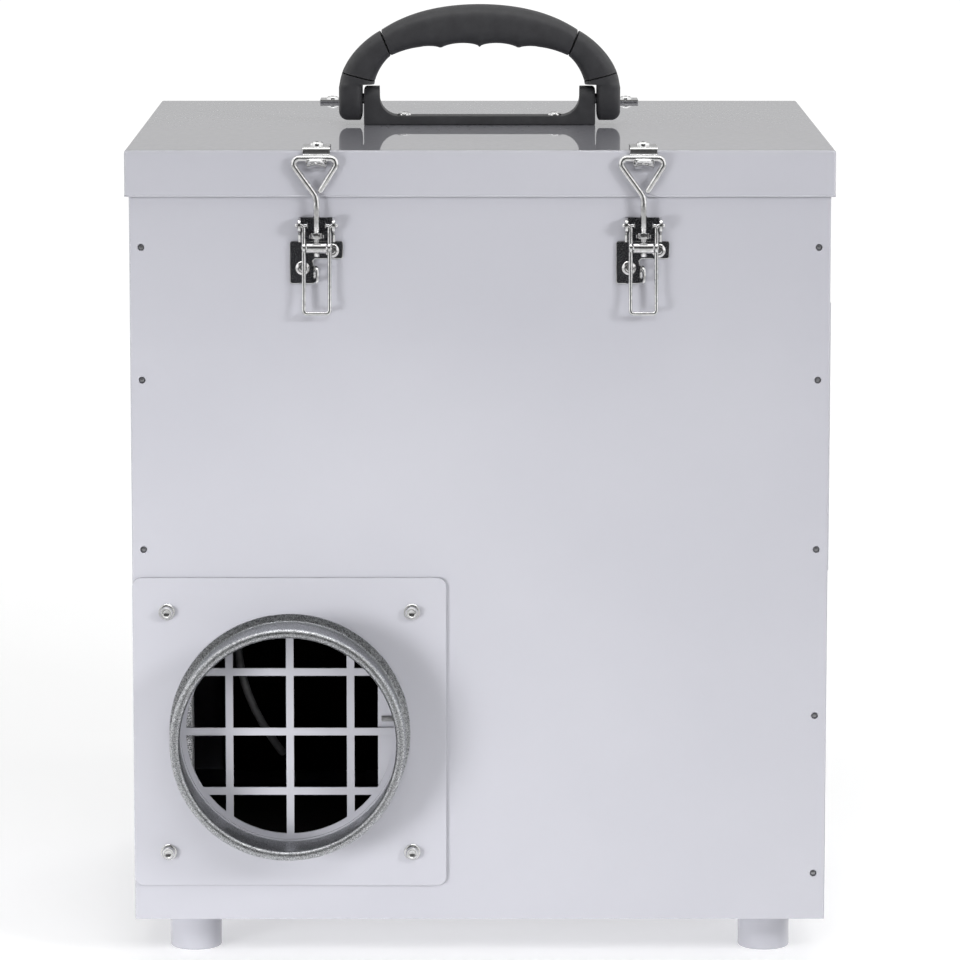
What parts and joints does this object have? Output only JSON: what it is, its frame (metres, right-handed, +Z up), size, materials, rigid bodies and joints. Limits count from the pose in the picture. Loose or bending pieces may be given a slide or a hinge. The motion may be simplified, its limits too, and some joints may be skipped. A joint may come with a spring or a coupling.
{
  "type": "dehumidifier",
  "caption": "Portable box dehumidifier with a latched lid, folding handle, round duct spigots and a turning desiccant rotor inside.",
  "frame": {"origin": "middle of the footprint, on the surface that the feet stand on", "axes": "+Z up, -Y out of the face with the large duct spigot, +X to the right of a viewer who faces it"},
  "size_m": [0.388, 0.431, 0.5222],
  "materials": {
    "body_paint": "satin",
    "galvanised": "satin",
    "zinc_plated": "bright",
    "latch_plate": "speckled",
    "handle_plastic": "textured",
    "rubber": "matte",
    "black_plastic": "satin",
    "desiccant": "matte",
    "filter_cloth": "matte",
    "bare_steel": "satin"
  },
  "bodies": {
    "cabinet": {"front_panel": "body_paint", "rear_panel": "body_paint", "side_panel_left": "body_paint", "side_panel_right": "body_paint", "floor_pan": "body_paint", "foot_front_left": "body_paint", "foot_front_right": "body_paint", "foot_rear_left": "body_paint", "foot_rear_right": "body_paint", "duct_plate": "body_paint", "duct_spigot": "galvanised", "duct_bolt_top_left": "zinc_plated", "duct_bolt_low_left": "zinc_plated", "duct_bolt_top_right": "zinc_plated", "duct_bolt_low_right": "zinc_plated", "latch_base_front_left": "latch_plate", "latch_base_front_right": "latch_plate", "latch_base_rear_left": "latch_plate", "latch_base_rear_right": "latch_plate", "mid_deck": "galvanised", "rotor_cassette": "galvanised", "rotor_axle": "bare_steel", "drive_belt": "rubber", "gear_motor": "black_plastic", "regen_hood": "galvanised", "regen_blower_housing": "black_plastic", "wet_air_spigot": "galvanised", "process_motor": "bare_steel", "intake_grille": "body_paint", "air_filter": "filter_cloth", "control_panel": "black_plastic", "power_inlet": "black_plastic"},
    "lid": {"lid_shell": "body_paint", "lid_gasket": "rubber", "handle_base": "handle_plastic", "latch_keeper_front_left": "zinc_plated", "latch_keeper_front_right": "zinc_plated", "latch_keeper_rear_left": "zinc_plated", "latch_keeper_rear_right": "zinc_plated"},
    "handle": {"handle_leg_left": "handle_plastic", "handle_leg_right": "handle_plastic", "handle_grip": "handle_plastic"},
    "latch_lever_body_front_left": {"latch_lever_front_left": "zinc_plated"},
    "latch_bail_body_front_left": {"latch_bail_front_left": "zinc_plated", "latch_barrel_front_left": "zinc_plated"},
    "latch_lever_body_front_right": {"latch_lever_front_right": "zinc_plated"},
    "latch_bail_body_front_right": {"latch_bail_front_right": "zinc_plated", "latch_barrel_front_right": "zinc_plated"},
    "latch_lever_body_rear_left": {"latch_lever_rear_left": "zinc_plated"},
    "latch_bail_body_rear_left": {"latch_bail_rear_left": "zinc_plated", "latch_barrel_rear_left": "zinc_plated"},
    "latch_lever_body_rear_right": {"latch_lever_rear_right": "zinc_plated"},
    "latch_bail_body_rear_right": {"latch_bail_rear_right": "zinc_plated", "latch_barrel_rear_right": "zinc_plated"},
    "rotor": {"desiccant_rotor": "desiccant"},
    "pulley": {"motor_pulley": "black_plastic"},
    "process_fan": {"process_impeller": "black_plastic"},
    "regen_fan": {"regen_impeller": "black_plastic"},
    "switch_key": {"rocker_switch": "black_plastic"},
    "knob": {"humidistat_knob": "black_plastic"}
  },
  "joints": [
    {"name": "lid_lift", "type": "slide", "parent": "cabinet", "child": "lid", "axis": [0, 0, 1], "range_m": [0, 0.15]},
    {"name": "handle_fold", "type": "hinge", "parent": "lid", "child": "handle", "pos_m": [0, 0, 0.468], "axis": [1, 0, 0], "range_deg": [-90, 90]},
    {"name": "latch_lever_front_left", "type": "hinge", "parent": "cabinet", "child": "latch_lever_body_front_left", "pos_m": [-0.089, -0.1823, 0.4126], "axis": [-1, 0, 0], "range_deg": [0, 100]},
    {"name": "latch_bail_front_left", "type": "hinge", "parent": "latch_lever_body_front_left", "child": "latch_bail_body_front_left", "pos_m": [-0.089, -0.1823, 0.4004], "axis": [-1, 0, 0], "range_deg": [-100, 0]},
    {"name": "latch_lever_front_right", "type": "hinge", "parent": "cabinet", "child": "latch_lever_body_front_right", "pos_m": [0.089, -0.1823, 0.4126], "axis": [-1, 0, 0], "range_deg": [0, 100]},
    {"name": "latch_bail_front_right", "type": "hinge", "parent": "latch_lever_body_front_right", "child": "latch_bail_body_front_right", "pos_m": [0.089, -0.1823, 0.4004], "axis": [-1, 0, 0], "range_deg": [-100, 0]},
    {"name": "latch_lever_rear_left", "type": "hinge", "parent": "cabinet", "child": "latch_lever_body_rear_left", "pos_m": [-0.089, 0.1823, 0.4126], "axis": [1, 0, 0], "range_deg": [0, 100]},
    {"name": "latch_bail_rear_left", "type": "hinge", "parent": "latch_lever_body_rear_left", "child": "latch_bail_body_rear_left", "pos_m": [-0.089, 0.1823, 0.4004], "axis": [1, 0, 0], "range_deg": [-100, 0]},
    {"name": "latch_lever_rear_right", "type": "hinge", "parent": "cabinet", "child": "latch_lever_body_rear_right", "pos_m": [0.089, 0.1823, 0.4126], "axis": [1, 0, 0], "range_deg": [0, 100]},
    {"name": "latch_bail_rear_right", "type": "hinge", "parent": "latch_lever_body_rear_right", "child": "latch_bail_body_rear_right", "pos_m": [0.089, 0.1823, 0.4004], "axis": [1, 0, 0], "range_deg": [-100, 0]},
    {"name": "rotor_spin", "type": "hinge", "parent": "cabinet", "child": "rotor", "pos_m": [0, 0, 0.2413], "axis": [0, 0, 1], "continuous": true},
    {"name": "pulley_spin", "type": "hinge", "parent": "cabinet", "child": "pulley", "pos_m": [0.15, -0.135, 0.2413], "axis": [0, 0, 1], "continuous": true},
    {"name": "process_fan_spin", "type": "hinge", "parent": "cabinet", "child": "process_fan", "pos_m": [0.04, 0.01, 0.135], "axis": [0, 0, 1], "continuous": true},
    {"name": "regen_fan_spin", "type": "hinge", "parent": "cabinet", "child": "regen_fan", "pos_m": [0.065, 0.06, 0.31], "axis": [0, 0, 1], "continuous": true},
    {"name": "switch_rock", "type": "hinge", "parent": "cabinet", "child": "switch_key", "pos_m": [0.048, 0.1778, 0.11], "axis": [1, 0, 0], "range_deg": [-14, 0]},
    {"name": "knob_turn", "type": "hinge", "parent": "cabinet", "child": "knob", "pos_m": [0.092, 0.1778, 0.11], "axis": [0, -1, 0], "range_deg": [0, 270]}
  ],
  "couplings": [
    {"joint": "latch_bail_front_left", "follows": "latch_lever_front_left", "ratio": -1},
    {"joint": "latch_bail_front_right", "follows": "latch_lever_front_right", "ratio": -1},
    {"joint": "latch_bail_rear_left", "follows": "latch_lever_rear_left", "ratio": -1},
    {"joint": "latch_bail_rear_right", "follows": "latch_lever_rear_right", "ratio": -1},
    {"joint": "pulley_spin", "follows": "rotor_spin", "ratio": 9.3088}
  ]
}
